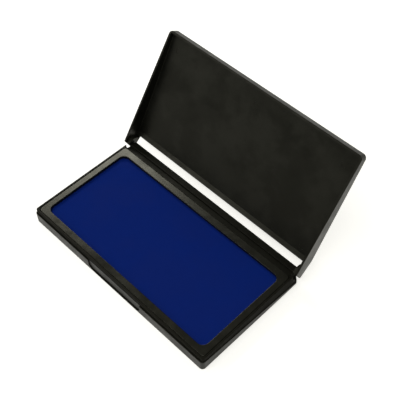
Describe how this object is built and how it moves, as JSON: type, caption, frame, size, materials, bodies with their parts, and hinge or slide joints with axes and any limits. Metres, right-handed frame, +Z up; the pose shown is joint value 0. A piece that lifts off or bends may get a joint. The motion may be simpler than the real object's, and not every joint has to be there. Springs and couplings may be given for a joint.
{
  "type": "stamp ink pad",
  "caption": "Rectangular stamp ink pad: an inked cloth over felt, held by a frame in a shallow plastic tray, with a hinged lid that swings back and shuts flat over it.",
  "frame": {"origin": "middle of the case's flat underside", "axes": "+X along the case's long side, +Y from the finger recess towards the hinge, +Z up out of the pad"},
  "size_m": [0.163, 0.1381, 0.0868],
  "materials": {
    "case_plastic": "fine moulded texture, low sheen",
    "lid_plastic": "fine moulded texture outside, smooth inside",
    "frame_plastic": "smooth, semi-gloss",
    "inked_cloth": "close plain weave, wet with blue ink",
    "felt": "dense wool felt soaked with ink",
    "board": "plain grey-brown board",
    "pin_steel": "drawn steel pin"
  },
  "bodies": {
    "case": {"base_tray": "case_plastic", "pad_frame": "frame_plastic", "ink_cloth": "inked_cloth", "ink_felt": "felt", "pad_backing_board": "board", "hinge_pin_left": "pin_steel", "hinge_pin_right": "pin_steel"},
    "lid": {"lid": "lid_plastic"}
  },
  "joints": [
    {"name": "lid_hinge", "type": "hinge", "parent": "case", "child": "lid", "pos_m": [0, 0.0435, 0.0094], "axis": [1, 0, 0], "range_deg": [0, 120]}
  ]
}
